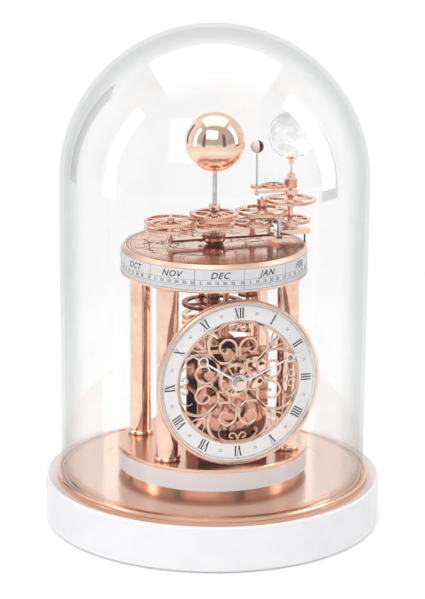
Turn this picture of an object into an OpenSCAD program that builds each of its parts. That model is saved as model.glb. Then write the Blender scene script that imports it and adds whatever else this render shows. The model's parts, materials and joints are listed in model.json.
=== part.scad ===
// Table orrery with a clock, on a round base under a glass dome.
// The clock face looks along -Y, and the orrery's arm points along +X at rest.

/* [Base] */
// Diameter of the lacquered plinth
plinth_d = 280; // [276:1:300]
// Height of the plinth at its rim
plinth_h = 39; // [34:0.5:46]
// Diameter of the metal base plate
plate_d = 261.2; // [260:0.2:264]

/* [Dome] */
// Outer diameter of the glass dome
dome_d = 254; // [252:0.5:254]
// Thickness of the glass
dome_wall = 3.6; // [3:0.1:4]
// Height of the dome's straight side
dome_side_h = 249.4; // [246:0.2:260]

/* [Case] */
// Diameter of the white band under the works
band_d = 158.6; // [156:0.2:164]
// Height of the white band
band_h = 15.3; // [12:0.1:18]
// Diameter of a column
column_d = 18; // [14:0.5:20]
// Distance of the columns from the middle
column_r = 64; // [63:0.5:66]
// Angle from the clock's middle line to a column
column_angle = 54; // [50:1:56]
// Height between the deck and the upper plate
column_h = 147.2; // [147:0.1:152]

/* [Calendar] */
// Diameter of the calendar ring
ring_d = 154; // [150:0.5:155]
// Height of the calendar ring
ring_h = 17.5; // [15:0.5:20]
// Diameter of the engraved star plate
star_d = 148; // [144:0.5:149]

/* [Clock face] */
// Outer diameter of the bezel
bezel_d = 138; // [134:0.5:139]
// Width of the bezel
bezel_w = 3; // [2:0.25:4]
// Inner diameter of the white chapter ring
chapter_in_d = 105; // [103:0.5:108]
// Angle of the hour hand from the top, clockwise
hour_angle = 303; // [0:1:359]
// Angle of the minute hand from the top, clockwise
minute_angle = 67; // [0:1:359]

/* [Gearing] */
// Module of the wheels: pitch diameter for each tooth
tooth_module = 0.5; // [0.5:0.05:0.5]
// Thickness of a wheel
wheel_t = 2.4; // [1.8:0.2:2.4]
// Running clearance on a radius
running = 0.05; // [0.02:0.01:0.08]

/* [Bodies] */
// Diameter of the sun
sun_d = 49; // [40:0.5:50]
// Diameter of the crystal earth
earth_d = 39; // [30:0.5:40]
// Diameter of the moon
moon_d = 11; // [8:0.5:12]

/* [Hidden] */
$fn = 96;

rose_gold = [0.84, 0.62, 0.52];
pale_rose = [0.92, 0.76, 0.68];
dark_rose = [0.55, 0.33, 0.26];
lacquer = [0.94, 0.94, 0.94];
silver = [0.78, 0.78, 0.8];
blued = [0.16, 0.18, 0.24];
clear_glass = [0.85, 0.92, 0.95, 0.35];

// Levels, from the table up
pad_h = 1;
plate_z = plinth_h - 3;
field_z = plinth_h + 3;
groove_z = field_z - 1.4;
band_z = field_z + 5.5;
deck_z = band_z + band_h;
deck_h = 3;
floor_z = deck_z + deck_h;
ceiling_z = floor_z + column_h;
ring_z = ceiling_z + 2;
ring_top = ring_z + ring_h;
star_z = ring_top + 3.1;
dial_z = floor_z + 69.2;

plinth_r = plinth_d / 2;
plate_r = plate_d / 2;
dome_r = dome_d / 2;
ring_r = ring_d / 2;
star_r = star_d / 2;
bezel_r = bezel_d / 2;
chapter_out_r = bezel_r - bezel_w;
chapter_in_r = chapter_in_d / 2;
column_angles = [column_angle, 180 - column_angle, 180 + column_angle, 360 - column_angle];

// Depths of the clock, along Y
movement_back = -20;
movement_front = -52;
movement_plate_t = 2.4;
motion_plane_1 = -55.4;
motion_plane_2 = -58;
motion_t = 2;
dial_back = -63.4;
dial_t = 1.2;
bezel_depth = 5;
hour_hand_y = -67.4;
minute_hand_y = -69.4;
hand_t = 0.8;
cap_front = -71.2;

// Tooth counts. Each pair that meshes fills the distance between its arbors.
fixed_teeth = 66;
left_teeth = 85;
idler_teeth = 67;
axis_teeth = 66;
drive_teeth = 80;
transfer_teeth = 86;
tall_teeth = 16;
moon_drive_teeth = 84;
fixed_pinion_teeth = 20;
moon_idler_teeth = 40;
moon_teeth = 20;
annual_teeth = 104;
arbor_teeth = 12;
arbor_wheel_teeth = 30;
barrel_teeth = 108;
centre_pinion_teeth = 14;
centre_teeth = 80;
third_pinion_teeth = 10;
third_teeth = 48;
cannon_teeth = 18;
minute_wheel_teeth = 54;
minute_pinion_teeth = 12;
hour_wheel_teeth = 48;
hour_module = 0.6;

// Places along the arm, from the sun
function gear_distance(a, b, m = tooth_module) = (a + b) * m / 2;
left_x = -gear_distance(fixed_teeth, left_teeth);
idler_x = gear_distance(fixed_teeth, idler_teeth);
earth_x = idler_x + gear_distance(idler_teeth, axis_teeth);
transfer_x = gear_distance(drive_teeth, transfer_teeth);
moon_idler_x = earth_x - gear_distance(fixed_pinion_teeth, moon_idler_teeth);
moon_x = moon_idler_x - gear_distance(moon_idler_teeth, moon_teeth);
arm_right = earth_x + 16.5;
arm_left = left_x - 3.4;

// Levels of the orrery, above the star plate
arm_z = star_z + 3.9;
arm_t = 2;
arm_top = arm_z + arm_t;
platform_top = arm_top + 2.5;
plane_1 = star_z + 14.9;
plane_2 = star_z + 20.1;
plane_3 = star_z + 23.7;
plane_4 = star_z + 32;
plane_5 = star_z + 44.7;
bridge_z = star_z + 18.7;
bridge_t = 2;
moon_arm_z = star_z + 40.2;
moon_arm_t = 1.8;
sun_z = star_z + 85.2;
earth_z = star_z + 87.7;
moon_z = star_z + 79.4;

// Sleeves around the middle, from the inside out
rod_r = 1.9;
sleeve_in = rod_r + running;
sleeve_out = 3;
post_in = sleeve_out + running;
post_out = 4;
tube_in = post_out + running;
tube_out = 5.2;

// Wheels that hang under the upper plate
hanger_bottom = ceiling_z - 50;
bracket_z = ceiling_z - 33.5;
annual_z = ceiling_z - 29;
drive_z = ceiling_z - 39;
spare_z = ceiling_z - 45;
hanger_y = 32;
hanger_r = 2.5;
arbor_turn = 10 * 360 / annual_teeth;
arbor_at = gear_distance(annual_teeth, arbor_teeth) * [cos(arbor_turn), -sin(arbor_turn)];

// Earth column
earth_post_r = 2.4;
earth_neck_r = 1.7;
earth_neck_z = star_z + 26.4;
pinion_z = star_z + 43.6;
pinion_h = 6.8;
spindle_r = 0.85;
moon_rod_r = 0.8;
stud_r = 1;
moon_hub_r = 3.4;

// Places in the clock, from the middle of the dial, as [x, z]
barrel_at = [0, dial_z - gear_distance(barrel_teeth, centre_pinion_teeth)];
third_turn = 40.5;
third_reach = gear_distance(centre_teeth, third_pinion_teeth);
third_at = [0, dial_z] + third_reach * [cos(third_turn), sin(third_turn)];
minute_turn = 13.5;
minute_reach = gear_distance(cannon_teeth, minute_wheel_teeth);
minute_at = [0, dial_z] + minute_reach * [cos(minute_turn), sin(minute_turn)];
block_top = floor_z + 10.2;
movement_top = dial_z + 25;
movement_half = 30;
arbor_r = 1.4;
cannon_r = 2.4;
pipe_r = 3.4;
balance_at = [-18, -36];
balance_z = movement_top + 4.5;
pillar_places = [[-26, block_top + 4], [26, block_top + 4], [-27.5, dial_z - 14], [27.5, dial_z - 14],
                 [-24, movement_top - 4]];

// ---- helpers ----

function polar(r, a) = [r * cos(a), r * sin(a)];

// Points of an arc about a centre
function arc(c, r, a0, a1, n) = [for (i = [0:n]) c + polar(r, a0 + (a1 - a0) * i / n)];

// A many-sided outline whose flats touch a circle of radius r
function flats(r, n) = [for (i = [0:n - 1]) polar(r / cos(180 / n), (i + 0.5) * 360 / n)];

// Outline of a wheel: four points a tooth, with a tooth centred on angle 0
function gear_points(teeth, m = tooth_module) = let (
    pitch_r = teeth * m / 2,
    tip_r = pitch_r + 0.75 * m,
    root_r = pitch_r - 1.15 * m,
    step = 360 / teeth
) [for (k = [0:teeth - 1]) for (p = [[root_r, -0.29], [tip_r, -0.11], [tip_r, 0.11], [root_r, 0.29]])
    polar(p[0], (k + p[1]) * step)];

// A toothed outline that shows a tooth, or a gap, in the direction towards
module gear_2d(teeth, towards = 0, gap = false, m = tooth_module) {
    rotate(towards + (gap ? 180 / teeth : 0))
        polygon(gear_points(teeth, m));
}

// A spoked wheel with a rim, spokes, a hub and a bore
module wheel_2d(teeth, rim_r, hub_r, bore_r, spokes, spoke_w, towards = 0, gap = false, m = tooth_module) {
    difference() {
        union() {
            difference() {
                gear_2d(teeth, towards, gap, m);
                polygon(flats(rim_r, 60));
            }
            for (i = [0:spokes - 1])
                rotate(i * 360 / spokes)
                    translate([0, -spoke_w / 2])
                        square([rim_r + 0.5, spoke_w]);
            polygon(flats(hub_r, 24));
        }
        if (bore_r > 0)
            polygon(flats(bore_r, 12));
    }
}

module lift(z, h) {
    translate([0, 0, z])
        linear_extrude(h)
            children();
}

// Stands an outline in the XZ plane, from depth y to the front by t
module stand(y, t) {
    translate([0, y + t, 0])
        rotate([90, 0, 0])
            linear_extrude(t)
                children();
}

// A rod along Y at [x, z]
module cross_rod(at, r, y0, y1) {
    translate([at[0], y1, at[1]])
        rotate([90, 0, 0])
            cylinder(r = r, h = y1 - y0);
}

module ring_solid(r_out, r_in, z, h) {
    lift(z, h)
        difference() {
            circle(r_out);
            circle(r_in);
        }
}

// ---- base ----

module felt_pads() {
    pad_r = 9;
    color(blued)
        for (a = [45:90:315])
            translate([(plinth_r - 18) * cos(a), (plinth_r - 18) * sin(a), 0])
                cylinder(r = pad_r, h = pad_h);
}

module plinth() {
    edge = 2;
    seat_r = plate_r + 0.4;
    color(lacquer)
        rotate_extrude($fn = 180)
            polygon(concat(
                [[0, pad_h]],
                arc([plinth_r - edge, pad_h + edge], edge, -90, 0, 4),
                arc([plinth_r - edge, plinth_h - edge], edge, 0, 85, 5),
                [[seat_r, plate_z], [0, plate_z]]
            ));
}

module base_plate() {
    lip_w = 2.2;
    lip_h = 0.4;
    edge = 0.8;
    line_h = 0.6;
    line_z = plate_z + 3.4;
    groove_out = dome_r + 0.8;
    groove_in = dome_r - dome_wall - 1;
    step_r = 100;
    dish = 0.9;
    foot_r = band_d / 2 - 5.3;
    color(rose_gold)
        rotate_extrude($fn = 180)
            polygon([
                [0, plate_z], [plate_r, plate_z],
                [plate_r, line_z], [plate_r - line_h, line_z],
                [plate_r - line_h, line_z + line_h], [plate_r, line_z + line_h],
                [plate_r, field_z + lip_h - edge], [plate_r - edge, field_z + lip_h],
                [plate_r - lip_w, field_z + lip_h], [groove_out, field_z],
                [groove_out, groove_z], [groove_in, groove_z], [groove_in, field_z],
                [step_r, field_z - 0.2], [step_r - 0.8, field_z - dish], [foot_r, field_z - dish - 0.3],
                [foot_r, band_z], [0, band_z]
            ]);
}

module dome_side() {
    top = groove_z + dome_side_h;
    inner_r = dome_r - dome_wall;
    lip = 0.8;
    color(clear_glass)
        rotate_extrude($fn = 180)
            polygon([
                [inner_r, groove_z + lip], [inner_r + lip, groove_z],
                [dome_r - lip, groove_z], [dome_r, groove_z + lip],
                [dome_r, top], [inner_r, top]
            ]);
}

module dome_crown() {
    centre = [0, groove_z + dome_side_h];
    steps = 24;
    color(clear_glass)
        rotate_extrude($fn = 180)
            polygon(concat(
                arc(centre, dome_r, 0, 90, steps),
                arc(centre, dome_r - dome_wall, 90, 0, steps)
            ));
}

// ---- case ----

module drum_band() {
    band_t = 6;
    color(lacquer)
        ring_solid(band_d / 2, band_d / 2 - band_t, band_z, band_h, $fn = 180);
}

module drum_deck() {
    edge = 0.7;
    r = band_d / 2 + 0.3;
    color(rose_gold)
        rotate_extrude($fn = 180)
            polygon([
                [0, deck_z], [r, deck_z], [r, floor_z - edge], [r - edge, floor_z], [0, floor_z]
            ]);
}

module column(a) {
    r = column_d / 2;
    bead_r = 2;
    foot_h = 2 * bead_r;
    color(rose_gold)
        translate([column_r * sin(a), -column_r * cos(a), floor_z])
            rotate_extrude()
                polygon(concat(
                    [[0, 0]],
                    arc([r, bead_r], bead_r, -90, 90, 8),
                    [[r, foot_h + 0.8], [r, column_h - 3], [r + 0.8, column_h - 2.4]],
                    [[r + 0.8, column_h], [0, column_h]]
                ));
}

module column_front_right() { column(column_angles[0]); }
module column_back_right() { column(column_angles[1]); }
module column_back_left() { column(column_angles[2]); }
module column_front_left() { column(column_angles[3]); }

module upper_plate() {
    r = ring_r + 0.6;
    edge = 0.6;
    color(rose_gold)
        difference() {
            rotate_extrude($fn = 180)
                polygon([[0, ceiling_z], [r - edge, ceiling_z], [r, ceiling_z + edge], [r, ring_z], [0, ring_z]]);
            translate([0, 0, ceiling_z - 1])
                cylinder(r = tube_out + running, h = 4);
            translate([arbor_at[0], arbor_at[1], ceiling_z - 1])
                cylinder(r = arbor_r + running, h = 4, $fn = 32);
        }
}

module calendar_ring() {
    ring_t = 3;
    color(lacquer)
        ring_solid(ring_r, ring_r - ring_t, ring_z, ring_h, $fn = 180);
}

module calendar_rim() {
    wall = 5;
    top_w = 0.8;
    color(pale_rose)
        rotate_extrude($fn = 180)
            polygon([
                [ring_r - wall, ring_top], [ring_r, ring_top], [ring_r, ring_top + 0.3],
                [star_r + top_w, star_z + 0.2], [star_r + 0.1, star_z + 0.2],
                [star_r + 0.1, ring_top + 1], [ring_r - wall, ring_top + 1]
            ]);
}

module star_plate() {
    color(rose_gold)
        ring_solid(star_r, tube_out + 0.4, ring_top + 1, star_z - ring_top - 1, $fn = 180);
}

// ---- middle of the orrery, fixed to the case ----

module hanging_frame() {
    bar_w = 12;
    bar_h = 2;
    cock_w = 6;
    reach = hanger_y + hanger_r + 0.8;
    cock_turn = atan2(arbor_at[1], arbor_at[0]);
    color(rose_gold) {
        for (s = [-1, 1])
            translate([0, s * hanger_y, 0])
                for (span = [[hanger_bottom + bar_h, bracket_z], [bracket_z + bar_h, ceiling_z]])
                    translate([0, 0, span[0]])
                        cylinder(r = hanger_r, h = span[1] - span[0]);
        lift(bracket_z, bar_h)
            difference() {
                square([bar_w, 2 * reach], center = true);
                circle(post_out);
            }
        lift(hanger_bottom, bar_h)
            difference() {
                union() {
                    square([bar_w, 2 * reach], center = true);
                    rotate(cock_turn)
                        translate([0, -cock_w / 2])
                            square([norm(arbor_at), cock_w]);
                    translate(arbor_at)
                        circle(cock_w / 2 + 0.7);
                }
                circle(rod_r);
                translate(arbor_at)
                    circle(arbor_r + running, $fn = 32);
            }
    }
}

module fixed_post() {
    color(rose_gold)
        ring_solid(post_out, post_in, bracket_z, plane_2 + wheel_t + 0.2 - bracket_z);
}

module fixed_gears() {
    rim = 13.2;
    hub = 7;
    color(rose_gold)
        for (z = [plane_1, plane_2])
            lift(z, wheel_t)
                wheel_2d(fixed_teeth, rim, hub, post_out, 5, 2.4);
}

module sun_rod() {
    color(silver)
        translate([0, 0, hanger_bottom])
            cylinder(r = rod_r, h = sun_z - sun_d / 2 + 3 - hanger_bottom);
}

module sun_ball() {
    color(rose_gold)
        translate([0, 0, sun_z])
            difference() {
                sphere(d = sun_d);
                translate([0, 0, -sun_d / 2 - 3])
                    cylinder(r = rod_r, h = 6);
            }
}

module sun_collar() {
    collar_r = 4.85;
    collar_z = plane_3 + wheel_t + 1;
    collar_h = 6.4;
    edge = 0.5;
    color(rose_gold)
        translate([0, 0, collar_z])
            rotate_extrude()
                polygon([
                    [rod_r, 0], [collar_r - edge, 0], [collar_r, edge], [collar_r, collar_h - edge],
                    [collar_r - edge, collar_h], [rod_r, collar_h]
                ]);
}

// ---- clock ----

module movement_block() {
    depth = movement_back - movement_front;
    color(dark_rose)
        translate([-movement_half, movement_front, floor_z])
            cube([2 * movement_half, depth, block_top - floor_z]);
}

module movement_outline() {
    translate([-movement_half, block_top])
        square([2 * movement_half, movement_top - block_top]);
}

// Bores of the arbors that both plates hold
module pivot_holes() {
    translate([0, dial_z])
        circle(arbor_r + running, $fn = 32);
    translate(third_at)
        circle(stud_r + running, $fn = 32);
}

module back_plate() {
    color(rose_gold)
        stand(movement_back - movement_plate_t, movement_plate_t)
            difference() {
                movement_outline();
                pivot_holes();
            }
}

module front_plate() {
    window_w = 20;
    window_h = 12;
    color(rose_gold)
        stand(movement_front, movement_plate_t)
            difference() {
                movement_outline();
                pivot_holes();
                translate(minute_at)
                    circle(0.9, $fn = 32);
                for (s = [-1, 1])
                    translate([s * 13, block_top + 9])
                        square([window_w, window_h], center = true);
                translate([0, barrel_at[1] + 3])
                    circle(11);
                translate([-15, dial_z + 14])
                    circle(7.5);
                translate([-17, dial_z - 8])
                    circle(6);
            }
}

module movement_plates() {
    back_plate();
    front_plate();
}

module movement_pillars() {
    arbor_in = 2;
    color(rose_gold) {
        for (p = pillar_places)
            cross_rod(p, 2.2, movement_front + movement_plate_t, movement_back - movement_plate_t);
        cross_rod(barrel_at, arbor_in, movement_front + movement_plate_t, movement_back - movement_plate_t);
    }
}

// Four slim arms behind the scrolls, from the dial's rim to posts on the movement
module dial_arms() {
    post_at = 31.6;
    post_r = 2;
    arm_w = 2.6;
    bar_t = 2;
    tip = chapter_in_r - 0.4;
    color(pale_rose)
        for (a = [45:90:315])
            translate([0, 0, dial_z])
                rotate([0, a, 0]) {
                    stand(dial_back, bar_t)
                        translate([post_at, -arm_w / 2])
                            square([tip - post_at, arm_w]);
                    cross_rod([post_at, 0], post_r, dial_back, movement_front);
                }
}

module bezel() {
    front = dial_back - bezel_depth;
    flat_w = 0.9;
    edge = 1.2;
    color(rose_gold)
        translate([0, 0, dial_z])
            rotate([90, 0, 0])
                rotate_extrude($fn = 180)
                    polygon([
                        [chapter_out_r, -dial_back - 1], [bezel_r - 1, -dial_back - 1], [bezel_r, -dial_back],
                        [bezel_r, -front - edge], [bezel_r - edge, -front], [bezel_r - edge - flat_w, -front],
                        [chapter_out_r, -front - 2]
                    ]);
}

module chapter_ring() {
    color(lacquer)
        translate([0, 0, dial_z])
            stand(dial_back - dial_t - 0.8, dial_t + 0.8)
                difference() {
                    circle(chapter_out_r, $fn = 180);
                    circle(chapter_in_r, $fn = 180);
                }
}

// One scroll: a long arc that curls back into a smaller one
module scroll_2d(w) {
    big = 11;
    small = 5.2;
    difference() {
        circle(big + w / 2);
        circle(big - w / 2);
        translate([0, -big - w])
            rotate(20)
                square([big + w, big + w]);
    }
    translate([big - small, 0])
        difference() {
            circle(small + w / 2);
            circle(small - w / 2);
            translate([-small - w, 0])
                square([small + w, small + w]);
        }
}

module fretwork() {
    w = 1.9;
    hub_r = 7.5;
    ring_w = 3.2;
    color(pale_rose)
        translate([0, 0, dial_z])
            stand(dial_back - dial_t, dial_t)
                difference() {
                    union() {
                        difference() {
                            circle(chapter_in_r, $fn = 180);
                            circle(chapter_in_r - ring_w, $fn = 180);
                        }
                        circle(hub_r);
                        for (a = [0:90:270])
                            rotate(a) {
                                for (s = [0, 1])
                                    mirror([s, 0])
                                        translate([11.6, 30])
                                            rotate(70)
                                                scroll_2d(w);
                                translate([-w / 2, hub_r - 1])
                                    square([w, chapter_in_r - hub_r - 1]);
                            }
                    }
                    circle(pipe_r + 0.6);
                }
}

module escapement_platform() {
    plate_t = 2;
    size = [20, 22];
    cock_z = balance_z + 3.2;
    color(rose_gold)
        translate([balance_at[0], balance_at[1], 0]) {
            lift(movement_top, plate_t)
                square(size, center = true);
            for (s = [-1, 1])
                translate([0, s * 9.5, movement_top + plate_t])
                    cylinder(r = 1.2, h = cock_z - movement_top - plate_t, $fn = 32);
            lift(cock_z, 1.4)
                difference() {
                    square([3.4, size[1]], center = true);
                    circle(0.5 + running, $fn = 32);
                }
        }
}

module balance_wheel() {
    rim = 6.9;
    color(pale_rose)
        translate([balance_at[0], balance_at[1], 0]) {
            lift(balance_z, 1.2)
                difference() {
                    union() {
                        difference() {
                            polygon(flats(7.6, 48));
                            polygon(flats(rim, 48));
                        }
                        square([2 * rim + 0.8, 1.4], center = true);
                        polygon(flats(1.6, 12));
                    }
                    circle(0.5, $fn = 32);
                }
            translate([0, 0, movement_top + 2.1])
                cylinder(r = 0.5, h = 6.6, $fn = 32);
        }
}

module hand_2d(ring_at, tip_at, ring_r, hub_r, w) {
    difference() {
        union() {
            translate([-w / 2, 0])
                square([w, ring_at]);
            polygon([[-w / 2, ring_at], [w / 2, ring_at], [0.15, tip_at], [-0.15, tip_at]]);
            translate([0, ring_at])
                circle(ring_r);
            circle(hub_r);
        }
        translate([0, ring_at])
            circle(ring_r - 1.2);
    }
}

module minute_hand() {
    color(silver)
        translate([0, 0, dial_z]) {
            stand(minute_hand_y, hand_t)
                rotate(-minute_angle)
                    hand_2d(46.8, 64.6, 3.6, 5, 1.3);
            stand(cap_front, minute_hand_y - cap_front)
                circle(4);
            stand(minute_hand_y + hand_t, motion_plane_1 - minute_hand_y - hand_t)
                difference() {
                    circle(cannon_r);
                    circle(arbor_r + running);
                }
            stand(motion_plane_1, motion_t)
                difference() {
                    gear_2d(cannon_teeth, minute_turn);
                    circle(arbor_r + running);
                }
        }
}

module hour_hand() {
    pipe_in = cannon_r + running;
    color(silver)
        translate([0, 0, dial_z]) {
            stand(hour_hand_y, hand_t)
                difference() {
                    rotate(-hour_angle)
                        hand_2d(36.5, 52, 4.3, 6.5, 1.6);
                    circle(pipe_in);
                }
            stand(hour_hand_y + hand_t, motion_plane_2 - hour_hand_y - hand_t)
                difference() {
                    circle(pipe_r);
                    circle(pipe_in);
                }
            stand(motion_plane_2, motion_t)
                wheel_2d(hour_wheel_teeth, 11.4, 5.2, pipe_in, 4, 2, minute_turn, false, hour_module);
        }
}

module minute_wheel() {
    holes = 6;
    hole_r = 2;
    hole_at = 8.6;
    color(rose_gold)
        translate([minute_at[0], 0, minute_at[1]]) {
            stand(motion_plane_1, motion_t)
                difference() {
                    gear_2d(minute_wheel_teeth, minute_turn + 180, true);
                    for (i = [0:holes - 1])
                        rotate(i * 360 / holes)
                            translate([hole_at, 0])
                                polygon(flats(hole_r, 12));
                }
            stand(motion_plane_2, motion_t)
                gear_2d(minute_pinion_teeth, minute_turn + 180, true, hour_module);
            stand(motion_plane_2 + motion_t, motion_plane_1 - motion_plane_2 - motion_t)
                polygon(flats(2.4, 12));
            cross_rod([0, 0], 0.8, motion_plane_1 + motion_t, movement_front + movement_plate_t);
        }
}

module centre_wheel() {
    wheel_y = -34;
    pinion_y = -42.4;
    pinion_t = 3.4;
    color(rose_gold)
        translate([0, 0, dial_z]) {
            cross_rod([0, 0], arbor_r, hour_hand_y - 0.6, movement_back - 0.4);
            stand(wheel_y, motion_t)
                wheel_2d(centre_teeth, 17, 4, 0, 4, 2.2, third_turn);
            stand(pinion_y, pinion_t)
                gear_2d(centre_pinion_teeth, -90, true);
        }
}

module barrel() {
    drum_r = 24.6;
    drum_y = -48;
    gear_y = -42;
    color(rose_gold)
        translate([barrel_at[0], 0, barrel_at[1]]) {
            stand(drum_y, gear_y - drum_y)
                difference() {
                    circle(drum_r);
                    circle(2 + running);
                }
            stand(gear_y, 2.4)
                difference() {
                    gear_2d(barrel_teeth, 90);
                    circle(2 + running);
                }
        }
}

module third_wheel() {
    pinion_y = -34.6;
    pinion_t = 3.2;
    wheel_y = -28;
    color(rose_gold)
        translate([third_at[0], 0, third_at[1]]) {
            cross_rod([0, 0], stud_r, movement_front + 0.4, movement_back - 0.4);
            stand(pinion_y, pinion_t)
                gear_2d(third_pinion_teeth, third_turn + 180, true);
            stand(wheel_y, motion_t)
                wheel_2d(third_teeth, 9.6, 3, 0, 5, 1.6);
        }
}

// ---- orrery ----

module arm_bar() {
    bar_w = 7;
    cross_x = 52;
    cross_reach = 14;
    cross_w = 5;
    boss_r = 9.5;
    tail_w = 9;
    platform_x = earth_x - 9;
    color(rose_gold) {
        lift(arm_z, arm_t)
            difference() {
                union() {
                    translate([left_x, -bar_w / 2])
                        square([arm_right - left_x, bar_w]);
                    translate([left_x, 0])
                        circle(bar_w / 2);
                    circle(boss_r);
                    translate([cross_x - cross_w / 2, -cross_reach])
                        square([cross_w, 2 * cross_reach]);
                }
                circle(tube_in);
            }
        lift(arm_top, platform_top - arm_top)
            difference() {
                translate([platform_x, -tail_w / 2])
                    square([arm_right - platform_x, tail_w]);
                translate([earth_x, 0])
                    circle(earth_post_r);
            }
    }
}

module arm_hub() {
    bowl_z = star_z + 0.7;
    ring_out = 9.7;
    claw_len = 13;
    claw_w = 2.6;
    claw_h = 1.1;
    color(dark_rose) {
        rotate_extrude()
            polygon([
                [tube_in, annual_z - 1], [tube_out, annual_z - 1], [tube_out, bowl_z], [6.2, bowl_z],
                [7.6, bowl_z + 0.7], [9, bowl_z + 2], [9.5, arm_z], [tube_in, arm_z]
            ]);
        ring_solid(ring_out, tube_in, arm_top, 2.6);
        for (a = [40, 160, 280])
            rotate(a)
                translate([9.2, -claw_w / 2, bowl_z + 2.1 - claw_h])
                    cube([claw_len - 9.2, claw_w, claw_h]);
    }
}

module annual_wheel() {
    color(dark_rose)
        lift(annual_z, 2.2)
            wheel_2d(annual_teeth, 22, 8, tube_out, 4, 2.6);
}

module arm_posts() {
    left_r = 2.5;
    idler_r = 2;
    color(rose_gold)
        for (p = [[left_x, left_r, plane_2 + wheel_t + 0.5], [idler_x, idler_r, plane_1 + wheel_t + 0.5]])
            translate([p[0], 0, 0])
                rotate_extrude()
                    polygon([
                        [0, arm_top], [p[1] + 1, arm_top], [p[1] + 1, arm_top + 1.6], [p[1], arm_top + 1.6],
                        [p[1], p[2]], [p[1] + 0.7, p[2]], [p[1] + 0.7, p[2] + 1.4], [0, p[2] + 1.4]
                    ]);
}

module bridge() {
    pillar_x = 52;
    pillar_y = 12;
    pillar_r = 1.4;
    boss_r = 2.8;
    color(silver) {
        for (s = [-1, 1])
            translate([pillar_x, s * pillar_y, arm_top])
                cylinder(r = pillar_r, h = bridge_z - arm_top, $fn = 32);
        lift(bridge_z, bridge_t)
            union() {
                polygon([
                    [transfer_x - 1, -boss_r], [pillar_x - 1.6, -pillar_y - 1.4], [pillar_x + 1.8, -pillar_y - 1.4],
                    [pillar_x + 1.8, pillar_y + 1.4], [pillar_x - 1.6, pillar_y + 1.4], [transfer_x - 1, boss_r]
                ]);
                translate([transfer_x, 0])
                    circle(boss_r);
            }
        translate([transfer_x, 0, bridge_z + bridge_t])
            cylinder(r = stud_r, h = plane_4 + 5 - bridge_z - bridge_t, $fn = 32);
    }
}

module earth_post() {
    ring_r = 5;
    ring_h = 3;
    disc_r = 7;
    disc_h = 1.4;
    bore = spindle_r + running;
    collar_z = pinion_z + pinion_h;
    collar_r = 3.6;
    collar_h = 5;
    color(silver)
        translate([earth_x, 0, 0])
            rotate_extrude()
                polygon([
                    [bore, arm_top], [earth_post_r, arm_top], [earth_post_r, platform_top],
                    [ring_r, platform_top], [ring_r, platform_top + ring_h], [disc_r, platform_top + ring_h],
                    [disc_r, platform_top + ring_h + disc_h], [earth_post_r, platform_top + ring_h + disc_h],
                    [earth_post_r, earth_neck_z], [earth_neck_r, earth_neck_z], [earth_neck_r, collar_z],
                    [collar_r, collar_z], [collar_r, collar_z + collar_h], [bore, collar_z + collar_h]
                ]);
}

module fixed_pinion() {
    color(rose_gold)
        translate([earth_x, 0, 0])
            lift(pinion_z, pinion_h)
                difference() {
                    gear_2d(fixed_pinion_teeth, 180);
                    polygon(flats(earth_neck_r, 12));
                }
}

module date_pointer() {
    x = ring_r + 2;
    t = 1;
    w = 1.6;
    fork_z = arm_z - 7;
    tip_z = ring_z + 8;
    spread = 3.6;
    color(blued)
        translate([x + t, 0, 0])
            rotate([90, 0, -90])
                linear_extrude(t)
                    union() {
                        translate([-w / 2, fork_z])
                            square([w, arm_z - fork_z]);
                        for (s = [-1, 1])
                            polygon([
                                [-s * w / 2, fork_z + 1], [s * w / 2, fork_z + 1],
                                [s * spread, tip_z], [s * (spread - w / 2), tip_z]
                            ]);
                    }
}

module left_wheels() {
    hub_r = 4;
    bore_r = 2.5 + running;
    color(rose_gold)
        translate([left_x, 0, 0]) {
            for (z = [plane_1, plane_2])
                lift(z, wheel_t)
                    wheel_2d(left_teeth, 19, hub_r, bore_r, 5, 2.2, 0, true);
            lift(plane_1 + wheel_t, plane_2 - plane_1 - wheel_t)
                difference() {
                    polygon(flats(hub_r, 24));
                    polygon(flats(bore_r, 12));
                }
        }
}

module idler_wheel() {
    color(rose_gold)
        translate([idler_x, 0, 0])
            lift(plane_1, wheel_t)
                wheel_2d(idler_teeth, 14.4, 4.2, 2 + running, 5, 2.2, 180, true);
}

module axis_wheel() {
    color(rose_gold)
        translate([earth_x, 0, 0])
            lift(plane_1, wheel_t)
                wheel_2d(axis_teeth, 14.2, 5.5, earth_post_r + running, 5, 2.2, 180, true);
}

module drive_sleeve() {
    color(rose_gold)
        ring_solid(sleeve_out, sleeve_in, spare_z - 0.6, plane_3 + wheel_t + 0.6 - spare_z + 0.6);
}

module drive_wheels() {
    color(rose_gold) {
        lift(plane_3, wheel_t)
            wheel_2d(drive_teeth, 15.6, 6, sleeve_out, 5, 2.6);
        for (z = [drive_z, spare_z])
            lift(z, 2.2)
                wheel_2d(annual_teeth, 22.6, 7, sleeve_out, 4, 2.6);
    }
}

module transfer_wheel() {
    color(rose_gold)
        translate([transfer_x, 0, 0])
            lift(plane_3, wheel_t)
                wheel_2d(transfer_teeth, 19, 5, stud_r + running, 5, 2.4, 180, true);
}

module tall_pinion() {
    color(rose_gold)
        translate([transfer_x, 0, 0])
            lift(plane_3 + wheel_t, plane_4 + wheel_t + 0.8 - plane_3 - wheel_t)
                difference() {
                    gear_2d(tall_teeth, 0);
                    polygon(flats(stud_r + running, 12));
                }
}

module moon_drive_wheel() {
    color(rose_gold)
        translate([earth_x, 0, 0])
            lift(plane_4, wheel_t - 0.2)
                wheel_2d(moon_drive_teeth, 17.8, 6, moon_hub_r, 5, 2.2, 180, true);
}

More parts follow.
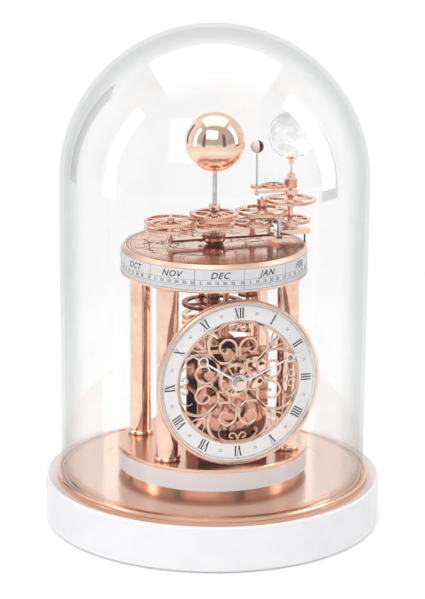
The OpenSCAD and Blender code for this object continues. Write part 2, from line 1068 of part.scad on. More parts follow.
module moon_arm() {
    bar_w = 4;
    end_r = 2.2;
    bore = earth_neck_r + running;
    cone_r = 6;
    reach = earth_x - moon_x;
    stud_top = plane_5 + 4.3;
    color(rose_gold)
        translate([earth_x, 0, 0]) {
            rotate_extrude()
                polygon([
                    [bore, earth_neck_z + 0.6], [moon_hub_r, earth_neck_z + 0.6], [moon_hub_r, moon_arm_z - 4.6],
                    [cone_r, moon_arm_z - 1.2], [cone_r, moon_arm_z], [bore, moon_arm_z]
                ]);
            lift(moon_arm_z, moon_arm_t)
                difference() {
                    union() {
                        translate([-reach, -bar_w / 2])
                            square([reach, bar_w]);
                        translate([-reach, 0])
                            circle(end_r);
                        circle(cone_r);
                    }
                    circle(bore);
                    translate([-reach, 0])
                        circle(moon_rod_r + running, $fn = 32);
                }
            translate([moon_idler_x - earth_x, 0, moon_arm_z + moon_arm_t])
                cylinder(r = stud_r, h = stud_top - moon_arm_z - moon_arm_t, $fn = 32);
        }
}

module moon_idler() {
    color(rose_gold)
        translate([moon_idler_x, 0, 0])
            lift(plane_5, wheel_t)
                wheel_2d(moon_idler_teeth, 7.8, 3, stud_r + running, 5, 1.6, 0, true);
}

module moon_gear() {
    color(rose_gold)
        translate([moon_x, 0, 0])
            lift(plane_5, wheel_t)
                difference() {
                    gear_2d(moon_teeth, 0);
                    polygon(flats(moon_rod_r, 12));
                }
}

module moon_rod() {
    collar_r = 1.6;
    collar_h = 1.2;
    foot_z = moon_arm_z - 0.3 - collar_h;
    color(silver)
        translate([moon_x, 0, foot_z]) {
            cylinder(r = moon_rod_r, h = moon_z - moon_d / 2 + 1.2 - foot_z, $fn = 32);
            ring_solid(collar_r, moon_rod_r, 0, collar_h, $fn = 32);
        }
}

module moon_ball() {
    color(pale_rose)
        translate([moon_x, 0, moon_z])
            difference() {
                sphere(d = moon_d);
                translate([0, 0, -moon_d / 2 - 1])
                    cylinder(r = moon_rod_r, h = 2.2, $fn = 32);
            }
}

module earth_spindle() {
    seat_z = earth_z - earth_d / 2;
    flange_r = 4.6;
    flange_h = 1.2;
    pin_r = 2.35;
    pin_h = 8.2;
    collar_r = 2.1;
    collar_h = 3.6;
    foot_z = arm_top + 0.6;
    color(silver)
        translate([earth_x, 0, 0])
            rotate_extrude($fn = 48)
                polygon([
                    [0, foot_z], [spindle_r, foot_z], [spindle_r, seat_z - flange_h - collar_h],
                    [collar_r, seat_z - flange_h - collar_h], [collar_r, seat_z - flange_h],
                    [flange_r, seat_z - 0.5], [flange_r, seat_z], [pin_r, seat_z], [pin_r, seat_z + pin_h],
                    [0, seat_z + pin_h]
                ]);
}

module crystal_ball() {
    pin_r = 2.35;
    pin_h = 8.2;
    color([0.92, 0.93, 0.95, 0.5])
        translate([earth_x, 0, earth_z])
            difference() {
                sphere(d = earth_d);
                translate([0, 0, -earth_d / 2 - 1])
                    cylinder(r = pin_r, h = pin_h + 1);
            }
}

module drive_arbor() {
    wheel_z = ceiling_z - 19;
    facing = atan2(arbor_at[1], arbor_at[0]) + 180;
    color(rose_gold)
        translate([arbor_at[0], arbor_at[1], 0]) {
            translate([0, 0, hanger_bottom + 0.2])
                cylinder(r = arbor_r, h = ceiling_z + 1 - hanger_bottom, $fn = 32);
            lift(annual_z - 0.4, 3)
                gear_2d(arbor_teeth, facing, true);
            lift(wheel_z, 2)
                gear_2d(arbor_wheel_teeth, 0);
        }
}

felt_pads();
plinth();
base_plate();
drum_band();
drum_deck();
column_front_right();
column_back_right();
column_back_left();
column_front_left();
upper_plate();
calendar_ring();
calendar_rim();
star_plate();
hanging_frame();
fixed_post();
fixed_gears();
sun_rod();
sun_ball();
sun_collar();
movement_plates();
movement_pillars();
movement_block();
dial_arms();
bezel();
chapter_ring();
fretwork();
escapement_platform();
dome_side();
dome_crown();
arm_bar();
arm_hub();
annual_wheel();
arm_posts();
bridge();
earth_post();
fixed_pinion();
date_pointer();
left_wheels();
idler_wheel();
axis_wheel();
drive_sleeve();
drive_wheels();
transfer_wheel();
tall_pinion();
moon_drive_wheel();
moon_arm();
moon_idler();
moon_gear();
moon_rod();
moon_ball();
earth_spindle();
crystal_ball();
drive_arbor();
minute_hand();
hour_hand();
minute_wheel();
centre_wheel();
barrel();
third_wheel();
balance_wheel();
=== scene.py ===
import json
import math
import random

import bpy
from mathutils import Matrix, Vector


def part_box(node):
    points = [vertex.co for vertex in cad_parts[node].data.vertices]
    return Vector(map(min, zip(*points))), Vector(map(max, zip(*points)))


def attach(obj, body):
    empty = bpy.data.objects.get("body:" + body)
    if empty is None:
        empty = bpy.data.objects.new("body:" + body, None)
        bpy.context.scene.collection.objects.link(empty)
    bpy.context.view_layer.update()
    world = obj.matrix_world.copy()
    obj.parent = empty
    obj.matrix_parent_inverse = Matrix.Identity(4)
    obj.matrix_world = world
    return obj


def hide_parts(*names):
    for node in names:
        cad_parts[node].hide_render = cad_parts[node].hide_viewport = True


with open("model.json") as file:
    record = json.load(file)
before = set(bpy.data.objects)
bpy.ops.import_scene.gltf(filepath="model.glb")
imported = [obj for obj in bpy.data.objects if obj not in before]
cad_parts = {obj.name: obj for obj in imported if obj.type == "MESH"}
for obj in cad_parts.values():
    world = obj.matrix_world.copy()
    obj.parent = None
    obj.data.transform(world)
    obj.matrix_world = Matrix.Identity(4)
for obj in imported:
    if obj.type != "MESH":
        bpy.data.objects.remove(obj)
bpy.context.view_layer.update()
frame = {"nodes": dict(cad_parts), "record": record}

nodes = frame["nodes"]
slotOf = {part["node"]: part["material_slot"] for part in frame["record"]["subparts"]}
mm = 0.001
print("frame:", len(nodes), "nodes")


def rgb(red, green, blue):
    # screen colour, 0 to 255, as a linear colour
    def linear(channel):
        channel /= 255
        return channel / 12.92 if channel <= 0.04045 else ((channel + 0.055) / 1.055) ** 2.4
    return (linear(red), linear(green), linear(blue), 1.0)


def low(name, axis):
    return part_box(name)[0][axis]


def high(name, axis):
    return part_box(name)[1][axis]


def middle(name):
    a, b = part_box(name)
    return (a + b) / 2


class Val:
    # a socket that takes part in sums
    def __init__(self, network, socket):
        self.network = network
        self.socket = socket

    def calc(self, operation, *values):
        return self.network.add("ShaderNodeMath", {"operation": operation}, values)

    def __add__(self, other):
        return self.calc("ADD", self, other)

    def __sub__(self, other):
        return self.calc("SUBTRACT", self, other)

    def __rsub__(self, other):
        return self.calc("SUBTRACT", other, self)

    def __mul__(self, other):
        return self.calc("MULTIPLY", self, other)

    def __truediv__(self, other):
        return self.calc("DIVIDE", self, other)

    def __rtruediv__(self, other):
        return self.calc("DIVIDE", other, self)

    def __pow__(self, other):
        return self.calc("POWER", self, other)

    def __rpow__(self, other):
        return self.calc("POWER", other, self)

    __radd__ = __add__
    __rmul__ = __mul__

    def most(self, other):
        return self.calc("MAXIMUM", self, other)

    def step(self, start, end):
        # 0 below start and 1 above end, with a soft change between
        return self.network.add("ShaderNodeMapRange", {"interpolation_type": "SMOOTHSTEP"},
                                {0: self, 1: start, 2: end, 3: 0.0, 4: 1.0})


class Network:
    # the nodes of one material or of the world
    def __init__(self, tree, outKind):
        self.tree = tree
        tree.nodes.clear()
        self.out = tree.nodes.new(outKind)

    def add(self, kind, settings, values, output=0):
        node = self.tree.nodes.new(kind)
        for key, value in settings.items():
            setattr(node, key, value)
        for key, value in (values.items() if isinstance(values, dict) else enumerate(values)):
            if isinstance(value, Val):
                self.tree.links.new(value.socket, node.inputs[key])
            else:
                node.inputs[key].default_value = value
        return Val(self, node.outputs[output])

    def show(self, shader):
        self.tree.links.new(shader.socket, self.out.inputs["Surface"])

    def place(self):
        return self.add("ShaderNodeTexCoord", {}, (), "Object")

    def split(self, vector, axis):
        return self.add("ShaderNodeSeparateXYZ", {}, (vector,), axis)

    def join(self, x, y, z):
        return self.add("ShaderNodeCombineXYZ", {}, (x, y, z))

    def grain(self, scale, detail=3.0, where=None, rough=0.55):
        return self.add("ShaderNodeTexNoise", {}, {"Vector": where or self.place(), "Scale": scale,
                                                   "Detail": detail, "Roughness": rough})

    def blend(self, factor, a, b):
        return self.add("ShaderNodeMix", {"data_type": "RGBA"}, {0: factor, 6: a, 7: b}, 2)

    def bump(self, height, distance, strength=1.0):
        return self.add("ShaderNodeBump", {}, {"Height": height, "Distance": distance,
                                               "Strength": strength})


class Finish(Network):
    # one material; looks are fixed values of its main shader, and None leaves that shader out
    def __init__(self, name, looks=None):
        self.material = bpy.data.materials.new(name)
        self.material.use_nodes = True
        super().__init__(self.material.node_tree, "ShaderNodeOutputMaterial")
        if looks is not None:
            self.shader = self.add("ShaderNodeBsdfPrincipled", {}, looks)
            self.show(self.shader)

    def put(self, name, value):
        # drives one of the main shader's sockets
        self.tree.links.new(value.socket, self.shader.socket.node.inputs[name])


metals = {
    # name: main colour, worn colour, roughness, roughness spread, size of the grain in mm
    "roseGold": (rgb(244, 209, 188), rgb(228, 182, 157), 0.08, 0.05, 3.0),
    "paleRose": (rgb(240, 209, 190), rgb(228, 190, 168), 0.36, 0.08, 0.4),
    # painted shade: a darker copy of rose gold for the movement parts inside the case, where shade falls
    "interiorShadeRose": (rgb(214, 156, 130), rgb(160, 98, 76), 0.12, 0.08, 5.0),
    # painted shade: a dark copy of rose gold for the foot under the white drum, standing in for its shadow
    # gap
    "paintedShadeRose": (rgb(160, 96, 73), rgb(116, 62, 46), 0.14, 0.08, 4.0),
    "steel": (rgb(208, 208, 211), rgb(176, 176, 181), 0.16, 0.08, 1.2),
    "handSilver": (rgb(240, 240, 242), rgb(218, 219, 223), 0.3, 0.06, 0.5),
    "bluedSteel": (rgb(58, 60, 72), rgb(34, 35, 44), 0.22, 0.1, 1.0),
}


def metalFinish(name, behind=None):
    # behind is a depth, past which the piece is rose gold
    colour, worn, rough, spread, grainSize = metals[name]
    finish = Finish(name, {"Metallic": 1.0})
    cloudy = finish.grain(1 / (grainSize * 4 * mm), 2.0)
    fine = finish.grain(1 / (grainSize * mm), 4.0)
    tone = finish.blend(cloudy.step(0.35, 0.75) * 0.6, colour, worn)
    if behind is not None:
        deep = finish.split(finish.place(), 1).step(behind - 0.2 * mm, behind)
        tone = finish.blend(deep, tone, metals["roseGold"][0])
    finish.put("Base Color", tone)
    finish.put("Roughness", rough + spread * fine.step(0.35, 0.7))
    finish.put("Normal", finish.bump(fine, 0.02 * mm * (3 if rough > 0.3 else 1), 0.35))
    return finish.material


def brushedFinish(name, colour, worn, ringSize, rough):
    # circular brushing round the vertical axis
    finish = Finish(name, {"Metallic": 1.0})
    place = finish.place()
    x, y = finish.split(place, 0), finish.split(place, 1)
    radius = (x * x + y * y) ** 0.5
    turn = finish.add("ShaderNodeMath", {"operation": "ARCTAN2"}, (y, x))
    track = finish.join(radius / (ringSize * mm), turn * 2.0, 0.0)
    rings = finish.grain(1.0, 3.0, track)
    broad = finish.grain(0.12, 2.0, track)
    finish.put("Base Color", finish.blend(rings.step(0.3, 0.75) * 0.45, colour, worn))
    finish.put("Roughness", rough + 0.09 * rings + 0.05 * broad)
    finish.put("Normal", finish.bump(rings, 0.012 * mm, 0.5))
    return finish.material


def lacquerFinish(name, colour, shade, rough, coat):
    finish = Finish(name, {"Specular IOR Level": 0.4, "Coat Weight": coat, "Coat Roughness": 0.06})
    peel = finish.grain(1 / (1.6 * mm), 2.0)
    dust = finish.grain(1 / (24 * mm), 3.0)
    finish.put("Base Color", finish.blend(dust.step(0.3, 0.8), colour, shade))
    finish.put("Roughness", rough + 0.08 * dust)
    finish.put("Normal", finish.bump(peel, 0.01 * mm, 0.3))
    return finish.material


def feltFinish():
    finish = Finish("felt", {"Roughness": 0.95, "Sheen Weight": 0.4})
    fuzz = finish.grain(1 / (0.35 * mm), 5.0)
    finish.put("Base Color", finish.blend(fuzz.step(0.3, 0.7), rgb(46, 46, 50), rgb(78, 78, 84)))
    finish.put("Normal", finish.bump(fuzz, 0.2 * mm, 0.8))
    return finish.material


def inkFinish(name, colour, worn):
    finish = Finish(name, {"Specular IOR Level": 0.3})
    mottle = finish.grain(1 / (0.5 * mm), 3.0)
    finish.put("Base Color", finish.blend(mottle.step(0.4, 0.8), colour, worn))
    finish.put("Roughness", 0.42 + 0.15 * mottle)
    return finish.material


def moonFinish():
    # pale on the sun's side, black on the far side
    finish = Finish("moonPaint", {"Coat Weight": 0.5, "Coat Roughness": 0.1})
    x = finish.split(finish.place(), 0)
    far = (x - middle("moon_ball")[0]).step(0.15 * mm, 0.5 * mm)
    spots = finish.grain(1 / (1.5 * mm), 4.0)
    pale = finish.blend(spots.step(0.45, 0.7) * 0.5, rgb(232, 218, 212), rgb(196, 178, 170))
    finish.put("Base Color", finish.blend(far, pale, rgb(26, 24, 26)))
    finish.put("Roughness", 0.28 + 0.12 * spots)
    return finish.material


glass = {
    "clear": (0.985, 0.985, 0.985, 1.0),
    "outerEdge": (0.87, 0.875, 0.875, 1.0), "innerEdge": (0.965, 0.967, 0.967, 1.0),
    "edgeFade": (0.45, 0.7), "gloss": 0.32,
}


def domeFinish(name, edgeTint):
    # thin clear glass: what is behind shows, the rim greys, and the lamps glint
    finish = Finish(name)
    facing = finish.add("ShaderNodeLayerWeight", {}, {"Blend": 0.5}, "Facing")
    clear = finish.add("ShaderNodeBsdfTransparent", {}, {"Color": glass["clear"]})
    edge = finish.add("ShaderNodeBsdfTransparent", {}, {"Color": edgeTint})
    body = finish.add("ShaderNodeMixShader", {}, (facing.step(*glass["edgeFade"]), clear, edge))
    seeds = finish.grain(1 / (40 * mm), 2.0)
    shine = finish.add("ShaderNodeBsdfGlossy", {}, {"Color": (1, 1, 1, 1), "Roughness": 0.02,
                       "Normal": finish.bump(seeds, 0.2 * mm, 0.1)})
    fresnel = finish.add("ShaderNodeFresnel", {}, {"IOR": 1.45})
    finish.show(finish.add("ShaderNodeMixShader", {}, (fresnel * glass["gloss"], body, shine)))
    return finish.material


def crystalFinish():
    # clear crystal with faint frosted land
    finish = Finish("crystalGlass", {"Transmission Weight": 1.0, "IOR": 1.36})
    land = finish.grain(1 / (17 * mm), 5.0, rough=0.6).step(0.52, 0.57)
    frost = finish.grain(1 / (0.6 * mm), 3.0)
    finish.put("Base Color", finish.blend(land, (1, 1, 1, 1), rgb(232, 231, 232)))
    finish.put("Roughness", land * (0.3 + 0.2 * frost))
    finish.put("Normal", finish.bump(land, 0.15 * mm, 0.5))
    return finish.material


finishes = {
    "felt": feltFinish(),
    "lacquer": lacquerFinish("whiteLacquer", rgb(230, 230, 232), rgb(225, 225, 228), 0.3, 0.35),
    "enamel": lacquerFinish("whiteEnamel", rgb(244, 244, 243), rgb(240, 240, 240), 0.24, 0.3),
    "rose_gold": metalFinish("roseGold"),
    "pale_rose": metalFinish("paleRose"),
    # painted shade: the dark rose slot paints the shadow gap under the drum as a dark foot
    "dark_rose": metalFinish("paintedShadeRose"),
    "steel": metalFinish("steel"),
    "hand_silver": metalFinish("handSilver", low("hour_hand", 1) + 3 * mm),
    "blued_steel": metalFinish("bluedSteel"),
    "dome_glass": domeFinish("domeGlassOuter", glass["outerEdge"]),
    "crystal": crystalFinish(),
    "moon": moonFinish(),
}
domeInner = domeFinish("domeGlassInner", glass["innerEdge"])
plateBrushed = brushedFinish("plateBrushed", rgb(238, 196, 172), rgb(226, 178, 152), 0.35, 0.16)
starBrushed = brushedFinish("starBrushed", rgb(240, 198, 174), rgb(220, 168, 142), 0.5, 0.07)
bezelSatin = brushedFinish("bezelSatin", rgb(240, 208, 186), rgb(228, 188, 164), 0.6, 0.2)
blackInk = inkFinish("blackInk", rgb(24, 24, 27), rgb(40, 40, 44))
greyInk = inkFinish("greyInk", rgb(96, 96, 100), rgb(124, 124, 128))
engraveInk = inkFinish("engraveInk", rgb(104, 60, 46), rgb(74, 42, 34))
blackScrew = inkFinish("blackScrew", rgb(20, 20, 24), rgb(34, 34, 40))

# painted shade: the movement behind the dial takes a darker copy of rose gold
interiorShadeRose = metalFinish("interiorShadeRose")
# nodes that take another finish than their slot's
special = {"base_plate": plateBrushed, "star_plate": starBrushed, "drum_deck": plateBrushed,
           "movement_plates": interiorShadeRose, "movement_pillars": interiorShadeRose, "barrel": interiorShadeRose,
           "centre_wheel": interiorShadeRose, "third_wheel": interiorShadeRose, "hanging_frame": interiorShadeRose}
for name, node in nodes.items():
    finish = special.get(name, finishes[slotOf[name]])
    node.data.materials.clear()
    node.data.materials.append(finish)
print("finishes:", len(bpy.data.materials))


class Shape:
    # collects points and faces, then becomes one piece
    def __init__(self):
        self.points = []
        self.faces = []
        self.kinds = []

    def add(self, points, faces, kind=0):
        start = len(self.points)
        self.points += [tuple(p) for p in points]
        self.faces += [[start + i for i in face] for face in faces]
        self.kinds += [kind] * len(faces)

    def band(self, rows, closed=True, kind=0):
        # skins a grid of points; closed joins the last row to the first
        count, width = len(rows), len(rows[0])
        points = [p for row in rows for p in row]
        faces = []
        for i in range(count if closed else count - 1):
            j = (i + 1) % count
            for k in range(width - 1):
                faces.append([i * width + k, j * width + k, j * width + k + 1, i * width + k + 1])
        self.add(points, faces, kind)

    def slab(self, outline, lift, thick, kind=0):
        # outline is a loop of flat points; lift turns (u, v, height) into a place
        count = len(outline)
        points = [lift(u, v, 0.0) for u, v in outline] + [lift(u, v, thick) for u, v in outline]
        faces = [list(range(count))[::-1], list(range(count, 2 * count))]
        faces += [[i, (i + 1) % count, count + (i + 1) % count, count + i] for i in range(count)]
        self.add(points, faces, kind)

    def piece(self, name, body, materials, replaced=(), smooth=30):
        mesh = bpy.data.meshes.new(name)
        mesh.from_pydata([[c * mm for c in p] for p in self.points], [], self.faces)
        for material in materials:
            mesh.materials.append(material)
        mesh.polygons.foreach_set("material_index", self.kinds)
        mesh.validate()
        obj = bpy.data.objects.new(name, mesh)
        bpy.context.scene.collection.objects.link(obj)
        if smooth:
            mesh.shade_smooth()
            mesh.set_sharp_from_angle(angle=math.radians(smooth))
        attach(obj, body)
        if replaced:
            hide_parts(*replaced)
        return obj


def spun(profile, steps, lift):
    # rows of points of a profile turned about an axis
    rows = []
    for i in range(steps):
        a = 2 * math.pi * i / steps
        rows.append([lift(r * math.cos(a), r * math.sin(a), h) for r, h in profile])
    return rows


def arcPoints(cx, cz, r, start, end, count):
    return [(cx + r * math.cos(math.radians(start + (end - start) * i / count)),
             cz + r * math.sin(math.radians(start + (end - start) * i / count)))
            for i in range(count + 1)]


def curveThrough(points):
    # smooth line through a few points
    perSpan = 7
    line = []
    last = len(points) - 1
    for i in range(last):
        p0, p1, p2, p3 = (Vector(points[max(0, min(last, k))]) for k in (i - 1, i, i + 1, i + 2))
        for k in range(perSpan):
            t = k / perSpan
            line.append(0.5 * ((2 * p1) + (p2 - p0) * t + (2 * p0 - 5 * p1 + 4 * p2 - p3) * t ** 2
                               + (3 * p1 - p0 - 3 * p2 + p3) * t ** 3))
    line.append(Vector(points[-1]))
    return line


def atZ(u, v, h):
    return (u, v, h)


# clock places, in mm
dial = {
    "z": middle("chapter_ring")[2] / mm,
    "face": low("chapter_ring", 1) / mm,
    "outer": (high("chapter_ring", 0) - low("chapter_ring", 0)) / 2 / mm,
    "inner": (high("fretwork", 0) - low("fretwork", 0)) / 2 / mm,
    "bezelOuter": (high("bezel", 0) - low("bezel", 0)) / 2 / mm,
    "bezelFront": low("bezel", 1) / mm,
    "bezelBack": high("bezel", 1) / mm,
    "fretFront": low("fretwork", 1) / mm,
    "fretBack": high("fretwork", 1) / mm,
}


def onDial(u, v, h):
    # u to the right, v up, h towards the front, from the middle of the dial
    return (u, -h, dial["z"] + v)


dome = {
    "wall": 3.6, "steps": 192, "arc": 40, "wallRows": 8,
    "arcEnd": 89.6,  # degrees, where the small flat cap at the top begins
    "lipOutside": 0.8, "lipInside": 1.4,
}


def buildDome():
    outer = high("dome_side", 0) / mm
    top = high("dome_crown", 2) / mm
    foot = low("dome_side", 2) / mm
    spring = top - outer
    inner = outer - dome["wall"]
    steps, end = dome["steps"], dome["arcEnd"]
    lipOutside, lipInside = foot + dome["lipOutside"], foot + dome["lipInside"]
    shape = Shape()
    wall = [(outer, lipOutside + (spring - lipOutside) * i / dome["wallRows"])
            for i in range(dome["wallRows"])]
    outside = wall + arcPoints(0, spring, outer, 0, end, dome["arc"])
    rim = [(inner, lipInside), (inner + 0.5, foot + 0.3), (inner + 1.6, foot),
           (outer - 1.2, foot), (outer - 0.3, foot + 0.3), (outer, lipOutside)]
    inside = arcPoints(0, spring, inner, end, 0, dome["arc"]) + [(inner, lipInside)]
    shape.band(spun(outside, steps, atZ))
    shape.band(spun(rim, steps, atZ))
    shape.band(spun(inside, steps, atZ), kind=1)
    loop = list(range(steps))
    for radius, height, face, kind in ((outer, top, loop, 0), (inner, spring + inner, loop[::-1], 1)):
        reach = radius * math.cos(math.radians(end))
        cap = [row[0] for row in spun([(reach, height)], steps, atZ)]
        shape.add(cap, [face], kind)
    shape.piece("dome_glass", "dome", [finishes["dome_glass"], domeInner],
                ["dome_side", "dome_crown"], smooth=60)


buildDome()
print("dome")


bezel = {"ridges": 200, "depth": 0.35, "flat": 0.9, "round": 1.2}


def buildBezel():
    outer, inner = dial["bezelOuter"], dial["outer"]
    front, back = -dial["bezelFront"], -dial["bezelBack"]
    seat = -dial["fretBack"]
    cut = bezel["depth"]
    rows = []
    steps = bezel["ridges"] * 4
    for i in range(steps):
        a = 2 * math.pi * i / steps
        dip = cut * (0.5 - 0.5 * math.cos(2 * math.pi * i / 4))
        side = outer - dip
        profile = [(inner, back), (outer - 1.4, back), (outer - 0.4, seat - 0.6), (outer, seat),
                   (outer, seat + 0.3), (side, seat + 0.5), (side, front - bezel["round"] - 0.5),
                   (outer, front - bezel["round"] - 0.3), (outer, front - bezel["round"]),
                   (outer - 0.3, front - 0.45), (outer - bezel["round"], front),
                   (outer - bezel["round"] - bezel["flat"], front), (inner + 0.35, front - 1.3),
                   (inner, front - 2), (inner, back)]
        rows.append([onDial(r * math.sin(a), r * math.cos(a), h) for r, h in profile])
    shape = Shape()
    shape.band(rows)
    shape.piece("bezel_coin_edge", "case", [bezelSatin], ["bezel"], smooth=25)


buildBezel()


fret = {
    "rimWidth": 3.0, "hubOuter": 7.5, "hubInner": 3.6,
    "slope": 0.35, "topShare": 0.62,  # height of the sloping sides, and how wide the flat top is
    # width at the start and the end of each kind of scroll, and the radius of the ball it ends in
    "widths": {"scroll": (2.4, 1.5, 1.3), "heart": (1.9, 1.3, 0.0), "spray": (1.6, 0.5, 0.0),
               "curl": (1.5, 1.0, 0.9), "frond": (2.6, 0.7, 0.0)},
    "spineWidths": (2.6, 2.2),
    # half of one side's pair, as (across, up), mirrored and turned four times
    "scroll": [(-12.5, 50.3), (-20.5, 45.5), (-25.2, 36.5), (-24.2, 26.5), (-18.2, 18.6), (-10.2, 16.6),
               (-3.4, 20.2), (-1.0, 27.0), (-3.6, 33.6), (-9.6, 36.2), (-14.8, 33.0), (-15.6, 28.0),
               (-12.6, 24.6), (-9.4, 25.4), (-8.8, 27.6)],
    "heart": [(0.0, 22.4), (-3.2, 21.0), (-6.6, 17.0), (-7.6, 12.0), (-5.4, 7.6), (-4.2, 5.6)],
    "spray": [(0.0, 50.2), (-5.0, 49.6), (-11.0, 48.6), (-15.6, 44.8), (-16.2, 41.0), (-14.8, 38.8)],
    "curl": [(0.0, 49.4), (-0.9, 46.0), (-3.2, 43.2), (-6.2, 43.6), (-6.8, 46.2), (-4.8, 47.2)],
    "spine": [(-16.4, 16.4), (-19.4, 19.4), (-23.4, 23.4)],
    "frond": [(-26.6, 26.6), (-28.6, 30.2), (-28.6, 35.0), (-31.4, 41.4)],
}


def strip(shape, points, wide, narrow, ball=0.0):
    # a flat bar along a line, with sloping sides and a smaller top face
    line = curveThrough(points)
    front, back = -dial["fretFront"], -dial["fretBack"]
    shoulder = front - fret["slope"]
    rows = []
    for i, p in enumerate(line):
        ahead = line[min(i + 1, len(line) - 1)] - line[max(i - 1, 0)]
        side = Vector((-ahead.y, ahead.x)).normalized()
        share = i / (len(line) - 1)
        half = (wide + (narrow - wide) * share) / 2
        top = half * fret["topShare"]
        outline = [(half, back), (half, shoulder), (top, front), (-top, front), (-half, shoulder),
                   (-half, back), (half, back)]
        rows.append([onDial(*(p + side * across), h) for across, h in outline])
    shape.band(rows, closed=False)
    shape.add(rows[0][:6], [[5, 4, 3, 2, 1, 0]])
    shape.add(rows[-1][:6], [[0, 1, 2, 3, 4, 5]])
    if ball:
        end = line[-1]
        profile = [(0.01, front), (ball * 0.6, front), (ball, shoulder), (ball, back), (0.01, back)]
        shape.band(spun(profile, 20, lambda u, v, h: onDial(end.x + u, end.y + v, h)))


def buildFretwork():
    shape = Shape()
    front, back = -dial["fretFront"], -dial["fretBack"]
    outer = dial["inner"]
    inner = outer - fret["rimWidth"]
    rim = [(outer, back), (outer, front), (outer - 0.7, front), (outer - 0.9, front - 0.35),
           (outer - 1.2, front - 0.35), (outer - 1.4, front), (inner + 0.5, front),
           (inner, front - 0.4), (inner, back), (outer, back)]
    shape.band(spun(rim, 192, onDial))
    wide, bore = fret["hubOuter"], fret["hubInner"]
    hub = [(bore, back), (wide, back), (wide, front - 0.3), (wide - 0.4, front), (bore + 0.4, front),
           (bore, front - 0.3), (bore, back)]
    shape.band(spun(hub, 64, onDial))
    for c, s in ((1, 0), (0, 1), (-1, 0), (0, -1)):
        for side in (1, -1):
            for line, widths in fret["widths"].items():
                strip(shape, [(c * x * side - s * y, s * x * side + c * y) for x, y in fret[line]],
                      *widths)
        strip(shape, [(c * x - s * y, s * x + c * y) for x, y in fret["spine"]], *fret["spineWidths"])
    shape.piece("fretwork_scrolls", "case", [finishes["pale_rose"]], ["fretwork"], smooth=40)


buildFretwork()
print("bezel and fretwork")


numerals = {
    "words": ["XII", "I", "II", "III", "IIII", "V", "VI", "VII", "VIII", "IX", "X", "XI"],
    "foot": 53.9, "height": 8.6, "thick": 1.15, "thin": 0.34, "serif": 0.3,
    "gap": {"I": 2.15, "V": 4.1, "X": 4.1},
    # the minute track: its outer radius, and the widths of its lines, ticks and dots
    "track": 64.9, "tick": 0.9, "lines": (0.22, 0.14), "tickWide": 0.13, "dot": 0.42, "dotDrop": 0.55,
    # crosses between the hours: radius of the middle, then start, waist, tip and half width of an arm
    "cross": 58.4, "crossArm": (0.25, 1.1, 1.75, 0.4),
    "ink": 0.05,
}


def letterStrokes(letter):
    # strokes as (u at the foot, u at the top, width), then serifs as (u, 0 foot or 1 top, width)
    thick, thin = numerals["thick"], numerals["thin"]
    if letter == "I":
        return [(0, 0, thick)], [(0, 0, 1.9), (0, 1, 1.9)]
    if letter == "V":
        return [(0.1, -1.45, thick), (0.1, 1.55, thin)], [(-1.45, 1, 1.9), (1.5, 1, 1.5)]
    return [(1.35, -1.35, thick), (-1.45, 1.45, thin)], [(-1.35, 1, 1.8), (1.4, 1, 1.4),
                                                         (-1.4, 0, 1.4), (1.35, 0, 1.8)]


def buildDialPrint():
    shape = Shape()
    face = -dial["face"]
    ink = numerals["ink"]

    def lay(angle, kind=0):
        c, s = math.cos(angle), math.sin(angle)
        return lambda outline: shape.slab(outline, lambda u, v, h: onDial(
            u * c + v * s, v * c - u * s, face + h), ink, kind)

    foot, height, serif = numerals["foot"], numerals["height"], numerals["serif"]
    for hour, word in enumerate(numerals["words"]):
        draw = lay(math.radians(30 * hour))
        u = -sum(numerals["gap"][letter] for letter in word) / 2
        for letter in word:
            u += numerals["gap"][letter] / 2
            strokes, serifs = letterStrokes(letter)
            for bottom, top, wide in strokes:
                draw([(u + bottom - wide / 2, foot), (u + bottom + wide / 2, foot),
                      (u + top + wide / 2, foot + height), (u + top - wide / 2, foot + height)])
            for at, end, wide in serifs:
                v = foot + end * (height - serif)
                draw([(u + at - wide / 2, v), (u + at + wide / 2, v),
                      (u + at + wide / 2, v + serif), (u + at - wide / 2, v + serif)])
            u += numerals["gap"][letter] / 2
        cross = lay(math.radians(30 * hour + 15), 1)
        for arm in range(4):
            a = math.pi / 4 + arm * math.pi / 2
            tip, side = Vector((math.cos(a), math.sin(a))), Vector((-math.sin(a), math.cos(a)))
            mid = Vector((0, numerals["cross"]))
            start, waist, end, half = numerals["crossArm"]
            cross([tuple(mid + tip * start), tuple(mid + tip * waist - side * half),
                   tuple(mid + tip * end), tuple(mid + tip * waist + side * half)])
    track = numerals["track"]
    tickFoot = track - numerals["tick"]
    for radius, wide in zip((track, tickFoot), numerals["lines"]):
        ring = [(radius, face), (radius, face + ink), (radius - wide, face + ink), (radius - wide, face)]
        shape.band(spun(ring, 240, onDial))
    wide = numerals["tickWide"]
    for minute in range(60):
        draw = lay(math.radians(6 * minute))
        draw([(-wide / 2, tickFoot), (wide / 2, tickFoot), (wide / 2, track), (-wide / 2, track)])
        if minute % 5 == 0:
            draw(arcPoints(0, track - numerals["dotDrop"], numerals["dot"], 0, 330, 11))
    shape.piece("chapter_print", "case", [blackInk, greyInk], smooth=0)


buildDialPrint()
print("chapter print")


calendar = {
    "months": ["JAN", "FEB", "MAR", "APR", "MAY", "JUN", "JUL", "AUG", "SEP", "OCT", "NOV", "DEC"],
    "lengths": [31, 28, 31, 30, 31, 30, 31, 31, 30, 31, 30, 31],
    "size": 7.4, "daySize": 3.5, "shear": 0.35, "spacing": 1.12, "bold": 0.1,
    # heights above the ring's foot: the four rules, the foot of a month's name and of a day's number
    "rules": (0.35, 4.0, 8.5, 17.1), "monthFoot": 10.0, "dayFoot": 5.1,
    "rule": 0.18, "monthLine": 0.3, "dayTick": 0.16, "dayTall": 2.2, "fifthTall": 3.3,
    "dayBack": 1.2,  # days between a number's middle and the end of its day
    "proud": 0.05,
}


